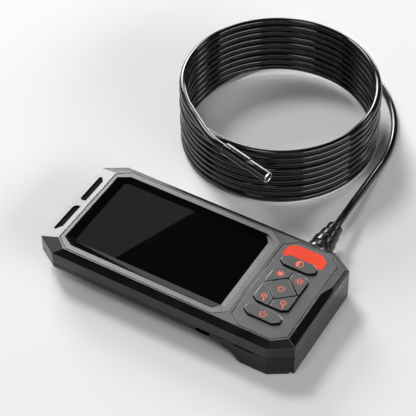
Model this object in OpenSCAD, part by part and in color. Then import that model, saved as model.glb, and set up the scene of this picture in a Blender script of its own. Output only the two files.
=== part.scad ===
// Handheld inspection camera: an octagonal screen unit with a keypad, a battery hump under
// the keypad end, and a probe cable wound in a round coil behind it.
// X runs from the screen end to the keypad end, Y to the cable side, Z up.
// The origin is the centre of the unit's outline on the surface that it stands on.

/* [Body] */
// Length of the body outline
body_l = 165; // [155:1:185]
// Width of the body outline
body_w = 80; // [76:1:95]
// Corner cut along the length
corner_x = 13; // [10:0.5:16]
// Corner cut across the width
corner_y = 8; // [6:0.5:10]
// Height of the thin body's underside
under_z = 10.2; // [9:0.1:13]
// Height of the seam between the shells, above the underside
seam_rise = 3.9; // [3.5:0.1:5]
// Height of the top shell's side wall above the seam
skirt_h = 7.9; // [7.5:0.1:9]
// Height of the sloping rim
bevel_h = 2.9; // [2.5:0.1:3.5]
// Width of the rim along both long sides
bevel_side = 4.1; // [3:0.1:5]
// Width of the rim at the screen end
bevel_screen = 10.7; // [9.5:0.1:12]
// Width of the rim at the keypad end
bevel_keys = 5.3; // [4.5:0.1:6]
// Corner cut of the deck along the length
deck_cut_x = 7.8; // [6:0.2:9]
// Corner cut of the deck across the width
deck_cut_y = 5.8; // [5:0.2:7]
// Wall of both shells
wall = 1.6; // [1.4:0.1:1.8]
// Chamfer of the lower edges
edge = 0.5; // [0.3:0.1:0.6]
// Step of the seam between the shells
seam = 0.35; // [0.2:0.05:0.5]

/* [Battery hump] */
// Length of the hump on the floor
hump_l = 29; // [28:0.5:34]
// Run of the hump's sloping front
hump_run = 9; // [6:0.5:12]
// Diameter of the battery cell
cell_d = 18.4; // [17.8:0.1:18.6]
// Length of the battery cell
cell_l = 50; // [45:0.5:51]

/* [Screen] */
// Width of the bezel along both long sides
bezel_side = 4.2; // [3.8:0.1:5]
// Width of the facet at the recess's keypad end
facet_w = 3.3; // [1.5:0.1:4]
// Black border beside the lit area, both ends together
border_l = 10.8; // [8:0.2:16]
// Black border beside the lit area, both sides together
border_w = 9.5; // [6:0.1:14]
// Thickness of the display module
lcd_t = 2.9; // [2.5:0.1:3]
// Thickness of the cover glass
glass_t = 1.1; // [0.9:0.1:1.1]

/* [Keypad] */
// Length of the keypad panel along the body
panel_l = 34.3; // [32:0.1:40]
// Length of the long keys and of the key group
key_l = 21.7; // [19:0.1:23]
// Share of the panel's width that each long key takes, in percent
key_share = 11.1; // [9:0.1:12]
// Share that the group of five keys takes, in percent
group_share = 40.2; // [36:0.1:42]
// Share that the space between a long key and the group takes, in percent
gap_share = 3.8; // [3:0.1:4.2]
// Height of the keys above the deck
key_rise = 1.3; // [0.8:0.1:2]
// Travel of the keys
key_travel = 0.5; // [0.3:0.05:0.6]
// Gap around each key
key_gap = 0.3; // [0.2:0.05:0.4]

/* [Ports] */
// Distance of the charging port's centre from the keypad end
usb_in = 52.8; // [50:0.1:70]
// Distance of the card slot's centre from the keypad end
card_in = 27.3; // [26.5:0.1:29]

/* [Cable] */
// Distance of the cable from the keypad end
boot_in = 25.3; // [24.5:0.1:28]
// Diameter of the probe cable
cable_d = 4.5; // [4:0.1:4.5]
// Radius of the coil to the cable's centre
coil_r = 59.7; // [55:0.1:65]
// Turns wound in the coil
coil_turns = 9.15; // [8.15:1:10.15]
// Rise of the cable in one turn
coil_pitch = 4.7; // [4.5:0.1:5]
// Length of the strain relief outside the body
boot_l = 25; // [20:0.5:26]
// Radius of the strain relief at the body
boot_r = 7.8; // [6.5:0.1:7.8]

/* [Probe] */
// Diameter of the camera head
head_d = 6.7; // [6.5:0.1:7.9]
// Length of the camera head
head_l = 15.2; // [12:0.1:16]
// Length of the sleeve behind the head
sleeve_l = 18.8; // [15:0.1:20]

/* [Hidden] */
$fn = 48;
cut = 1; // how far a cutting solid runs past a face

// Heights of the stack
seam_z = under_z + seam_rise;
rim_z = seam_z + skirt_h;
deck_z = rim_z + bevel_h;
inlay_t = 0.9;
plate_t = 1.5;
inlay_z = deck_z - inlay_t;
plate_z = deck_z - plate_t;
glass_z = inlay_z - glass_t;
ledge_t = 1;
lcd_top = glass_z - ledge_t;
lcd_z = lcd_top - lcd_t;
ceiling_z = lcd_top - 1.5;
board_t = 1.2;
usb_h = 3.2;
floor_z = under_z + wall;
board_z = seam_z;

// Clearances
slide_fit = 0.05; // plates dropped into their pockets
groove = 0.45; // shadow lines round the inlaid plates
loose = 0.2; // parts laid between walls
rim_w = 0.25; // flat edge of the shell round the face plate
margin = 1; // distance of the inlaid plates from the deck's edge

// Eight-cornered outlines: [x0, x1, half width, corner cut at x0, corner cut at x1]
body = [-body_l / 2, body_l / 2, body_w / 2, [corner_x, corner_y], [corner_x, corner_y]];
deck_cut = [deck_cut_x, deck_cut_y];
deck = [body[0] + bevel_screen, body[1] - bevel_keys, body[2] - bevel_side, deck_cut, deck_cut];

function cut_in(c, d) = [c.x - d * (1 + (c.x - norm(c)) / c.y), c.y - d * (1 + (c.y - norm(c)) / c.x)];
function inset(o, d) = [o[0] + d, o[1] - d, o[2] - d, cut_in(o[3], d), cut_in(o[4], d)];
function corners(o) = [
    [o[0] + o[3].x, -o[2]], [o[1] - o[4].x, -o[2]],
    [o[1], -o[2] + o[4].y], [o[1], o[2] - o[4].y],
    [o[1] - o[4].x, o[2]], [o[0] + o[3].x, o[2]],
    [o[0], o[2] - o[3].y], [o[0], -o[2] + o[3].y]];

// Bezel and recess. The keypad end has a fixed length, and the screen takes the rest.
recess_in = 2.9;
bezel_lap = 3.2;
strip_w = 1.8;
panel = [deck[1] - margin - panel_l, deck[1] - margin, deck[2] - margin, deck_cut, deck_cut];
bezel = [deck[0] + margin, panel[0] - strip_w, deck[2] - margin, deck_cut, deck_cut];
recess_x0 = deck[0] + recess_in;
recess_x1 = bezel[1] - bezel_lap;
screen_l = recess_x1 - recess_x0;
screen_w = 2 * (deck[2] - bezel_side);
recess_cut = [7, 4];
facet_cut_top = [6.4, 3.7];
facet_cut_low = [4.1, 5.2];
recess_top = [recess_x0, recess_x1, screen_w / 2, recess_cut, facet_cut_top];
recess_low = [recess_x0, recess_x1 - facet_w, screen_w / 2, recess_cut, facet_cut_low];
glass_lap = 1.2;
glass = [recess_x0 - glass_lap, recess_x1 + glass_lap, screen_w / 2 + glass_lap, recess_cut, recess_cut];

// Display module, a little nearer the keypad end than the glass that shows
lcd_shift = 2.4;
lcd_lap = 3.8;
lcd_short = 0.3;
lcd_l = screen_l - lcd_short;
lcd_w = screen_w + lcd_lap;
lcd_x = (recess_x0 + recess_x1 - facet_w) / 2 + lcd_shift;
lit_l = screen_l - border_l;
lit_w = screen_w - border_w;
lit_in = 6.2;
lit_x = recess_x0 + lit_in + lit_l / 2;
surround_drop = 0.12; // how far the surround's rim lies below the deck
surround_lip = 0.12;
surround_edge = 0.5;
surround_past = 5; // how far its cutting shapes run past the keypad end
lit_cut = [2.2, 1.8];
flex_w = 18;
flex_in = 14;
flex_t = 0.2;
flex_bend = 7;

// Keys. Sizes across the body are shares of the panel's width.
key_in = 4.55;
key_x = panel[0] + key_in + key_l / 2;
key_y = -1.6;
key_w = key_share / 100 * 2 * panel[2];
group_w = group_share / 100 * 2 * panel[2];
key_row_gap = gap_share / 100 * 2 * panel[2];
row_y = group_w / 2 + key_row_gap + key_w / 2;
key_cut = [3.3, 2.3];
key_top = deck_z + key_rise;
lip_w = 0.6;
lip_t = 0.45;
lip_top = plate_z - slide_fit;
lip_z = lip_top - lip_t;
mat_top = lip_z - key_travel - slide_fit;
mat_t = 0.5;
pip_h = 0.35;
pip_r = 2.2;
mat_z = mat_top - pip_h - mat_t;
dome_h = 0.3;
dome_r = 2.5;
key_board_t = 0.8;
key_board_z = mat_z - dome_h - key_board_t;
split = 0.55; // gap between the five keys of the group
diamond = [0.456 * key_l, 0.28 * group_w]; // half sizes of the middle key
key_window = [key_l, 2 * row_y + key_w] + 2 * (key_gap + lip_w + loose) * [1, 1];
mat_size = key_window + [2.7, 1.7];
key_board_size = mat_size + [0, 7];
key_screw_in = 1.8;
key_screw_y = key_board_size.y / 2 - key_screw_in;
key_board_spots = [[key_x, key_y + key_screw_y], [key_x, key_y - key_screw_y]];

function oct(l, w, c) = corners([-l / 2, l / 2, w / 2, c, c]);

// Press points on the pad, one for each key
press_at = [0.286 * key_l, 0.32 * group_w];
press = [[0, row_y], [0, 0], [0, -row_y],
         [-press_at.x, press_at.y], press_at, -press_at, [press_at.x, -press_at.y]];

// Label, sized by the free space beyond the far long key
label_t = 0.2;
label_gap = 0.9;
label_y = row_y + key_w / 2 + label_gap;
label_h = 0.775 * (panel[2] - key_y - label_y);

// Hump and battery
hump_x = body[1] - hump_l;
cell_in = 2.4;
cell_far = 7.6; // distance of the cell's far end from the far side
cell_x = body[1] - wall - cell_d / 2 - cell_in;
cell_y = body[2] - cell_far - cell_l / 2;
cell_z = wall + loose + cell_d / 2;
contact_t = 0.8;
contact_w = 10;
contact_back = 1.4;
spring_l = 2.2;
spring_r = 4;
pole_r = 3;
pole_l = 1;
saddle_w = 6;
saddle_half = 7;
saddle_drop = 4;

// Slots and trim on the sloping rims
slot_depth = 1.5;
slot_pad = 0.6;
slot_x = [3.2, 8];
slot_y = [2.5, 24.4];
trim_depth = 0.6;
trim_x = [0.7, 5.6];
trim_full_y = 6.8;
trim_turn_y = 8;
trim_tip = [2.9, 15.4];

// Ridge along the far third of the keypad end's rim: distance up the slope and height off it
guard_y = [7.5, 15, 29.2];
guard_crest = [2.3, 1.7];
guard_foot = [2.5, -0.4];

// Fasteners
boss_r = 2.8;
boss_wall = 0.8;
screw_r = 1.3;
screw_head_r = 2.3;
screw_head_h = 1.6;
screw_seat = 2.4; // depth of the counterbore
screw_x = [body[0] + 6.5, bezel[1] + 0.9];
screw_y = [body[2] - 14, body[2] - 8];
screw_spots = [[screw_x[0], screw_y[0]], [screw_x[0], -screw_y[0]],
               [screw_x[1], screw_y[1]], [screw_x[1], -screw_y[1]]];
board_boss_r = 2.4;
board_screw_r = 1;
board_head_r = 1.9;
board_head_h = 1.2;

// Boards and sockets
board = [body[0] + 16.5, screw_x[1] + 6.8, [-body[2] + wall + 0.8, body[2] - 6]];
board_spot_y = body[2] - 11;
board_spots = [[board[0] + 6, board_spot_y], [board[0] + 6, -board_spot_y],
               [board[1] - 18, board_spot_y], [board[1] - 28, -board_spot_y]];
usb_w = 8.94;
usb_l = 7.3;
usb_tongue = [3.3, 0.35];
card_w = 12;
card_h = 1.4;
card_l = 14;
card_skin = 0.25;
tab_l = 16;
port_gap = 0.1;
pinhole_r = 0.7;
usb_x = body[1] - usb_in;
usb_y = -body[2] + 0.5;
usb_z = board_z - usb_h / 2;
card_x = body[1] - card_in;
card_z = board_z - card_h / 2;
shield_at = [-5, 1];
shield_size = [30, 26];
shield_h = 1.8;
shield_t = 0.3;
plug_h = 2;
plug = [[board[1] - 10, board[1] - 2], [body[2] - 19, body[2] - 13]];

// Strain relief, on the seam of the far wall
boot_x = body[1] - boot_in;
boot_y = body[2];
neck_r = 5.2;
flange_r = 6.4;
flange_t = 1.8;
collar_l = 2.6;
flare_l = 6;
boot_tip_r = 3.6;
boot_grooves = 3;
groove_w = 0.5;
groove_dip = 0.7;
cable_bore = cable_d / 2 + 0.1;

// Coil and cable routes, measured from the cable's exit. The points lie on the cable's centre
// line. A lead point's third number is its height: 0 on the floor and 1 at the exit.
coil_at = [boot_x - 73, boot_y + 90.5];
coil_h = coil_pitch * coil_turns + cable_d;
lead_floor = cable_d / 2 + 0.05;
lead_points = [
    [0, 12, 1], [0, 25, 1], [-0.2, 32, 0.98], [-0.5, 40, 0.92], [-1.1, 51, 0.8], [-1.9, 63, 0.6],
    [-2.9, 75, 0.39], [-3.8, 87, 0.18], [-4.5, 98, 0.05], [-5.7, 109, 0], [-7.9, 119, 0],
    [-11.3, 129, 0], [-15.6, 137.6, 0], [-20.4, 145, 0], [-25.7, 151.6, 0], [-31.1, 157.3, 0],
    [-36.7, 162.2, 0], [-43.7, 167, 0], [-52.7, 171, 0], [-63.7, 173, 0], [-75.2, 172, 0],
    [-86.2, 168.4, 0], [-96.7, 162.4, 0], [-106.2, 154.3, 0], [-114.7, 144.4, 0], [-122, 133, 0],
    [-127.4, 120.3, 0], [-131, 107, 0], [-132.7, 92, 0]];
lead_start = [boot_x, boot_y - wall - flange_t, seam_z];
lead_route = concat([lead_start], [for (p = lead_points)
    [boot_x + p.x, boot_y + p.y, lead_floor + p.z * (seam_z - lead_floor)]]);

// Tail points are measured from the coil's centre, and the last two lie inside the sleeve
tail_points = [
    [-38.2, -45.9, 45.2], [-34.2, -48.9, 45.2], [-29.7, -52.2, 45.2], [-25.2, -55.4, 45.3],
    [-20.8, -58.6, 45.3], [-16.6, -61.4, 45.2], [-12.5, -63.8, 45.1], [-8.4, -65.6, 45],
    [-4.2, -66.9, 44.8], [0.05, -67.8, 44.6], [3.95, -68.7, 44.4]];
tail_route = [for (p = tail_points) [coil_at.x + p.x, coil_at.y + p.y, p.z]];
probe_at = tail_route[len(tail_route) - 2];
probe_yaw = -12.7;
probe_droop = 2.5;

// Lead inside the body, from the cable's end to the camera plug
core_r = 0.8;
core_end = [plug[0][1], (plug[1][0] + plug[1][1]) / 2, board_z + board_t + plug_h / 2];
core_out = 3;
core_rise = 2;
core_bend = [lead_start - [0, 1.5, 0], lead_start + [0, -7, core_rise],
             core_end + [core_out + 5, 2, core_rise], core_end + [core_out, 0, 0]];
function bezier(p, t) = pow(1 - t, 3) * p[0] + 3 * t * pow(1 - t, 2) * p[1]
                      + 3 * t * t * (1 - t) * p[2] + pow(t, 3) * p[3];
core_route = concat([lead_start], [for (i = [0:6]) bezier(core_bend, i / 6)], [core_end]);

// Probe
sleeve_r = head_d / 2 + 0.45;
sleeve_shoulder = 7;
sleeve_lead_in = 0.5;
spigot_r = head_d / 2 - 0.6;
spigot_l = 5;
head_bore = 2.15;
window_r = 2.5;
window_t = 0.75;
ring_t = 0.5;
led_side = 0.65;
led_r = 1.8;
lens_r = 1.2;
lens_l = 4.6;
sensor_side = 3;

// ---- shared shapes ----

module slab(o, z0, z1) {
    translate([0, 0, z0])
        linear_extrude(z1 - z0)
            polygon(corners(o));
}

// Straight-sided solid between two eight-cornered outlines
module loft(o0, z0, o1, z1) {
    low = [for (p = corners(o0)) [p.x, p.y, z0]];
    high = [for (p = corners(o1)) [p.x, p.y, z1]];
    sides = [for (i = [0:7]) for (f = [[i, i + 8, (i + 1) % 8], [(i + 1) % 8, i + 8, (i + 1) % 8 + 8]]) f];
    polyhedron(concat(low, high), concat([[0, 1, 2, 3, 4, 5, 6, 7], [15, 14, 13, 12, 11, 10, 9, 8]], sides));
}

module block(x, y, z) {
    translate([x[0], y[0], z[0]])
        cube([x[1] - x[0], y[1] - y[0], z[1] - z[0]]);
}

module centred(size, grow, z0, z1) {
    block([-size.x / 2 - grow, size.x / 2 + grow], [-size.y / 2 - grow, size.y / 2 + grow], [z0, z1]);
}

module disc(at, r, z0, z1) {
    translate([at.x, at.y, z0])
        cylinder(r = r, h = z1 - z0);
}

// A profile drawn in X and Z, running across the body
module across(half, points) {
    translate([0, half, 0])
        rotate([90, 0, 0])
            linear_extrude(2 * half)
                polygon(points);
}

// Slot with round ends, lying along X and running along Y
module round_slot(x, z, w, h, y0, y1) {
    for (s = [-1, 1])
        translate([x + s * (w - h) / 2, y1, z])
            rotate([90, 0, 0])
                cylinder(d = h, h = y1 - y0);
    block([x - (w - h) / 2, x + (w - h) / 2], [y0, y1], [z - h / 2, z + h / 2]);
}

// Frames that lie on the sloping rims: x runs up the slope from its lower edge, z is its normal
module on_screen_rim() {
    translate([body[0], 0, rim_z])
        rotate([0, -atan2(bevel_h, bevel_screen), 0])
            children();
}

module on_key_rim() {
    translate([body[1], 0, rim_z])
        rotate([0, atan2(bevel_h, bevel_keys), 0])
            mirror([1, 0, 0])
                children();
}

module on_probe() {
    translate(probe_at)
        rotate([0, 90 + probe_droop, probe_yaw])
            children();
}

// Round tube along a list of centre points
function unit(v) = v / norm(v);
function heading(route, i) = unit(route[min(i + 1, len(route) - 1)] - route[max(i - 1, 0)]);
function ring(at, dir, r, n) =
    let (side = unit(cross(dir, [0, 0, 1])), up = cross(side, dir))
        [for (k = [0:n - 1]) at + r * (cos(360 * k / n) * side + sin(360 * k / n) * up)];

module tube(route, r, n) {
    last = len(route) - 1;
    points = [for (i = [0:last]) for (p = ring(route[i], heading(route, i), r, n)) p];
    walls = [for (i = [0:last - 1]) for (k = [0:n - 1])
        for (f = [[i * n + k, i * n + (k + 1) % n, (i + 1) * n + k],
                  [i * n + (k + 1) % n, (i + 1) * n + (k + 1) % n, (i + 1) * n + k]]) f];
    front = [for (k = [0:n - 1]) n - 1 - k];
    back = [for (k = [0:n - 1]) last * n + k];
    polyhedron(points, concat([front, back], walls));
}

// ---- outlines of the keys ----

// row is 1 for the far long key, 0 for the group and -1 for the near long key
module key_place(row) {
    translate([key_x, key_y + row * row_y, 0])
        children();
}

module long_key_2d(grow) {
    polygon(oct(key_l + 2 * grow, key_w + 2 * grow, cut_in(key_cut, -grow)));
}

module group_2d(grow) {
    polygon(oct(key_l + 2 * grow, group_w + 2 * grow, cut_in(key_cut, -grow)));
}

module diamond_2d(grow) {
    d = diamond + [grow, grow] * 1.3;
    flat = 1;
    polygon([[-d.x, 0], [-flat, -d.y], [flat, -d.y], [d.x, 0], [flat, d.y], [-flat, d.y]]);
}

// One of the four corner keys: a quarter of the group without the middle key
module corner_key_2d(sx, sy, grow) {
    difference() {
        intersection() {
            group_2d(grow);
            translate([sx > 0 ? split / 2 : -key_l, sy > 0 ? split / 2 : -group_w])
                square([key_l - split / 2, group_w - split / 2]);
        }
        diamond_2d(split);
    }
}

module key_solid(rise) {
    translate([0, 0, lip_z])
        linear_extrude(key_top - lip_z)
            children(0);
    translate([0, 0, lip_z])
        linear_extrude(lip_t)
            children(1);
}

module long_key(row) {
    color([0.29, 0.29, 0.29])
        key_place(row)
            key_solid() {
                long_key_2d(0);
                long_key_2d(key_gap + lip_w);
            }
}

module corner_key(sx, sy) {
    color([0.29, 0.29, 0.29])
        key_place(0)
            key_solid() {
                corner_key_2d(sx, sy, 0);
                corner_key_2d(sx, sy, key_gap + lip_w);
            }
}

module key_holes_2d() {
    for (row = [-1, 1])
        key_place(row)
            long_key_2d(key_gap);
    key_place(0)
        group_2d(key_gap);
}

// ---- shells ----

module screw_holes(r, z0, z1) {
    for (p = screw_spots)
        disc(p, r, z0, z1);
}

module ports() {
    outside = -body[2] - cut;
    inside = -body[2] + wall + cut;
    usb_half = usb_w / 2 + port_gap;
    round_slot(usb_x, usb_z, 2 * usb_half, usb_h + 2 * port_gap, outside, inside);
    block([usb_x - usb_half, usb_x + usb_half], [-body[2] + wall - cut / 2, usb_y + usb_l + loose],
          [usb_z - usb_h / 2 - port_gap, seam_z]);
    round_slot(card_x, card_z, card_w + port_gap, card_h - 0.2, outside, inside);
    translate([(usb_x + card_x) / 2 - 1.3, inside, seam_z])
        rotate([90, 0, 0])
            cylinder(r = pinhole_r, h = inside - outside);
}

module boot_hole() {
    translate([boot_x, body[2] + cut, seam_z])
        rotate([90, 0, 0])
            cylinder(r = neck_r + slide_fit, h = wall + 2 * cut);
}

module hump_profile(in) {
    front = hump_x - hump_run + in;
    back = body[1] + cut;
    across(body_w, [[front, under_z + in], [hump_x + in, in], [back, in], [back, seam_z + cut],
                    [front, seam_z + cut]]);
}

module bottom_shell() {
    color([0.13, 0.13, 0.13])
    difference() {
        union() {
            difference() {
                union() {
                    loft(inset(body, edge), under_z, body, under_z + edge);
                    slab(body, under_z + edge, seam_z - seam);
                    slab(inset(body, seam), seam_z - seam, seam_z);
                    intersection() {
                        union() {
                            loft(inset(body, edge), 0, body, edge);
                            slab(body, edge, seam_z - seam);
                        }
                        hump_profile(0);
                    }
                }
                slab(inset(body, wall), floor_z, seam_z + cut);
                intersection() {
                    slab(inset(body, wall), wall, seam_z + cut);
                    hump_profile(wall);
                }
            }
            screw_holes(boss_r + boss_wall, floor_z, seam_z);
            for (p = board_spots)
                disc(p, board_boss_r, floor_z, board_z);
        }
        screw_holes(screw_r + slide_fit, under_z - cut, seam_z + cut);
        screw_holes(screw_head_r + loose, under_z - cut, under_z + screw_seat);
        for (p = board_spots)
            disc(p, board_screw_r + slide_fit, floor_z + 0.4, board_z + cut);
        ports();
        boot_hole();
        lanyard_notch();
    }
}

// Upright notch for a lanyard, low on the near corner of the keypad end
module lanyard_notch() {
    translate([body[1] - 1.6, -body[2] + corner_y - 0.9, -cut])
        rotate([0, 0, atan2(corner_y, corner_x)])
            translate([-1, -cut * 2, 0])
                cube([2, cut * 2 + 1.2, cut + 6]);
}

module screen_slot_2d(grow) {
    x = slot_x + [-grow, grow];
    y = slot_y + [-grow, grow];
    polygon([[x[0], y[0] + 1.7], [x[0] + 1.4, y[0]], [x[1], y[0]],
             [x[1], y[1] - 3.6], [x[0] + 1.8, y[1]], [x[0], y[1] - 0.8]]);
}

module key_trim_2d(grow) {
    x = trim_x + [-grow, grow];
    near = deck_cut_y - deck[2] - grow;
    polygon([[x[0], near - 1.1], [x[1], near + 0.6], [x[1], trim_full_y],
             [trim_tip.x, trim_tip.y + grow], [x[0], trim_turn_y]]);
}

// Ridge that carries the end wall's surface up nearly to the deck
module key_guard() {
    y = guard_y;
    points = [[0, y[0], 0], [0.5, y[0], -0.4],
              [guard_crest.x, y[1], guard_crest.y], [guard_foot.x, y[1] + 0.3, guard_foot.y],
              [0, y[2] + 2.7, 0], [0.5, y[2] + 2.3, -0.4],
              [guard_crest.x - 0.2, y[2], guard_crest.y], [guard_foot.x, y[2] + 1.4, guard_foot.y]];
    polyhedron(points, [[0, 4, 6], [0, 6, 2], [3, 2, 6], [3, 6, 7], [0, 2, 3], [0, 3, 1],
                        [4, 5, 7], [4, 7, 6], [4, 0, 1], [4, 1, 5], [1, 3, 7], [1, 7, 5]]);
}

module top_shell() {
    color([0.1, 0.1, 0.1])
    difference() {
        union() {
            difference() {
                union() {
                    slab(body, seam_z, rim_z);
                    loft(body, rim_z, deck, deck_z);
                    on_key_rim()
                        key_guard();
                }
                slab(inset(body, wall), seam_z - cut, ceiling_z);
            }
            screw_holes(boss_r, seam_z, ceiling_z);
        }
        screw_holes(screw_r + slide_fit, seam_z - cut, ceiling_z - 0.4);
        slab(inset(deck, rim_w), plate_z, deck_z + cut);
        slab(inset(glass, -slide_fit), glass_z, plate_z + cut);
        block([lit_x - lit_l / 2 - 1, lit_x + lit_l / 2 + 1], [-lit_w / 2 - 1, lit_w / 2 + 1],
              [lcd_top - cut, glass_z + cut]);
        block([lcd_x - lcd_l / 2 - loose, lcd_x + lcd_l / 2 + loose],
              [-lcd_w / 2 - loose, lcd_w / 2 + loose], [ceiling_z - cut, lcd_top]);
        translate([key_x, key_y, 0]) {
            centred(key_window, 0, ceiling_z - cut, plate_z + cut);
            centred(mat_size, loose, ceiling_z - cut, mat_z + mat_t);
            centred(key_board_size, loose, ceiling_z - cut, key_board_z + key_board_t);
        }
        for (p = key_board_spots)
            disc(p, board_screw_r + slide_fit, ceiling_z, plate_z - 0.2);
        for (s = [0, 1])
            mirror([0, s, 0])
                on_screen_rim()
                    translate([0, 0, -slot_depth])
                        linear_extrude(slot_depth + cut)
                            screen_slot_2d(0);
        on_key_rim()
            translate([0, 0, -trim_depth])
                linear_extrude(trim_depth + cut)
                    key_trim_2d(slide_fit);
        ports();
        boot_hole();
    }
}

module face_plate() {
    color([0.42, 0.42, 0.43])
    difference() {
        slab(inset(deck, rim_w + slide_fit), plate_z, deck_z);
        slab(inset(bezel, -groove), inlay_z, deck_z + cut);
        slab(inset(panel, -groove), inlay_z, deck_z + cut);
        slab(inset(glass, -slide_fit), plate_z - cut, deck_z + cut);
        translate([0, 0, plate_z - cut])
            linear_extrude(plate_t + 2 * cut)
                key_holes_2d();
    }
}

module screen_bezel() {
    color([0.62, 0.62, 0.63])
    difference() {
        slab(bezel, inlay_z, deck_z);
        loft(recess_low, inlay_z, recess_top, deck_z);
        slab(recess_low, inlay_z - cut, inlay_z + 0.01);
        slab(recess_top, deck_z - 0.01, deck_z + cut);
    }
}

// Black surround that slopes down to the lit area on three sides. The bezel's facet is the fourth.
module screen_surround() {
    outer = inset(recess_low, slide_fit);
    end = outer[1] + surround_past;
    low = [lit_x - lit_l / 2, end, lit_w / 2, lit_cut, lit_cut];
    high = [outer[0] + surround_edge, end, outer[2] - surround_edge, recess_cut, recess_cut];
    over = 1.2; // the slope is cut this much longer, to clear the rim
    foot = inlay_z + surround_lip;
    top = deck_z - surround_drop;
    color([0.02, 0.02, 0.02])
    difference() {
        slab(outer, inlay_z, top);
        slab(low, inlay_z - cut, foot);
        loft(low, foot, low + over * (high - low), foot + over * (top - foot));
    }
}

module keypad_panel() {
    color([0.42, 0.42, 0.42])
    difference() {
        slab(panel, inlay_z, deck_z);
        translate([0, 0, inlay_z - cut])
            linear_extrude(inlay_t + 2 * cut)
                key_holes_2d();
    }
}

// Coloured plate that wraps the far long key
module label_plate() {
    ear = key_l / 2;
    color([0.96, 0.27, 0.15])
    translate([key_x, key_y + label_y, deck_z])
        linear_extrude(label_t)
            polygon([[-ear - 1.35, -1.4], [-ear + 0.85, -1.9], [-ear + 2.85, 0], [ear - 3.35, 0],
                     [ear - 0.45, -2.1], [ear + 2.05, -1], [ear + 1.75, 0.61 * label_h],
                     [ear - 2.85, label_h], [-ear + 3.35, label_h], [-ear + 0.95, 0.86 * label_h],
                     [-ear - 1.45, 0.6 * label_h]]);
}

module key_end_trim() {
    color([0.04, 0.04, 0.04])
    on_key_rim()
        translate([0, 0, -trim_depth])
            linear_extrude(trim_depth)
                key_trim_2d(0);
}

module end_inlays() {
    color([0.03, 0.03, 0.03])
    for (s = [0, 1])
        mirror([0, s, 0])
            on_screen_rim()
                translate([0, 0, -slot_depth])
                    linear_extrude(slot_pad)
                        screen_slot_2d(-slide_fit);
}

// ---- screen ----

module cover_glass() {
    color([0.02, 0.02, 0.03])
        slab(glass, glass_z, inlay_z);
}

module lcd_panel() {
    color([0.08, 0.08, 0.09])
        block([lcd_x - lcd_l / 2, lcd_x + lcd_l / 2], [-lcd_w / 2, lcd_w / 2], [lcd_z, lcd_top]);
}

module lcd_flex() {
    t = flex_t;
    x = lcd_x - lcd_l / 2 + flex_in;
    bend = x - flex_bend;
    z = board_z + board_t;
    color([0.75, 0.45, 0.1])
        across(flex_w / 2, [[x, lcd_z], [x, lcd_z - t], [bend, lcd_z - t], [bend, z + t],
                            [x, z + t], [x, z], [bend - t, z], [bend - t, lcd_z]]);
}

// ---- keys ----

module key_light() {
    long_key(1);
}

module key_brighter() {
    corner_key(-1, 1);
}

module key_dimmer() {
    corner_key(1, 1);
}

module key_rotate() {
    color([0.29, 0.29, 0.29])
        key_place(0)
            key_solid() {
                diamond_2d(0);
                diamond_2d(0);
            }
}

module key_zoom_in() {
    corner_key(-1, -1);
}

module key_zoom_out() {
    corner_key(1, -1);
}

module key_power() {
    long_key(-1);
}

module keypad_mat() {
    color([0.5, 0.5, 0.52])
    translate([key_x, key_y, 0]) {
        centred(mat_size, 0, mat_z, mat_z + mat_t);
        for (p = press)
            disc(p, pip_r, mat_z + mat_t, mat_top);
    }
}

module snap_domes() {
    color([0.75, 0.75, 0.78])
    translate([key_x, key_y, 0])
        for (p = press)
            disc(p, dome_r, key_board_z + key_board_t, mat_z);
}

module key_board() {
    color([0.05, 0.25, 0.12])
    difference() {
        translate([key_x, key_y, 0])
            centred(key_board_size, 0, key_board_z, key_board_z + key_board_t);
        for (p = key_board_spots)
            disc(p, board_screw_r + slide_fit, key_board_z - cut, key_board_z + key_board_t + cut);
    }
}

// ---- boards ----

module main_board() {
    color([0.05, 0.28, 0.13])
    difference() {
        union() {
            block([board[0], board[1]], board[2], [board_z, board_z + board_t]);
            block([board[1], card_x + card_w / 2 + 0.6], [board[2][0], board[2][0] + tab_l],
                  [board_z, board_z + board_t]);
        }
        screw_holes(boss_r + boss_wall / 2, board_z - cut, board_z + board_t + cut);
        for (p = board_spots)
            disc(p, board_screw_r + slide_fit, board_z - cut, board_z + board_t + cut);
    }
}

module shield_can() {
    z = board_z + board_t;
    color([0.7, 0.7, 0.72])
    translate([shield_at.x, shield_at.y, 0])
        difference() {
            centred(shield_size, 0, z, z + shield_h);
            centred(shield_size, -shield_t, z - cut, z + shield_h - shield_t);
        }
}

module usb_socket() {
    color([0.72, 0.72, 0.74])
    difference() {
        round_slot(usb_x, usb_z, usb_w, usb_h, usb_y, usb_y + usb_l);
        difference() {
            round_slot(usb_x, usb_z, usb_w - 0.6, usb_h - 0.6, usb_y - cut, usb_y + usb_l - 1);
            block([usb_x - usb_tongue[0], usb_x + usb_tongue[0]], [usb_y + 0.6, usb_y + usb_l],
                  [usb_z - usb_tongue[1], usb_z + usb_tongue[1]]);
        }
    }
}

module card_socket() {
    y0 = -body[2] + wall + loose;
    half = card_w / 2 + 0.5;
    inner = half - 0.8;
    color([0.68, 0.68, 0.7])
    difference() {
        block([card_x - half, card_x + half], [y0, y0 + card_l], [board_z - card_h, board_z]);
        block([card_x - inner, card_x + inner], [y0 - cut, y0 + card_l - 1],
              [board_z - card_h + card_skin, board_z - card_skin]);
    }
}

module camera_plug() {
    color([0.85, 0.84, 0.8])
        block(plug[0], plug[1], [board_z + board_t, board_z + board_t + plug_h]);
}

module core_lead() {
    color([0.2, 0.2, 0.22])
        tube(core_route, core_r, 8);
}

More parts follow.
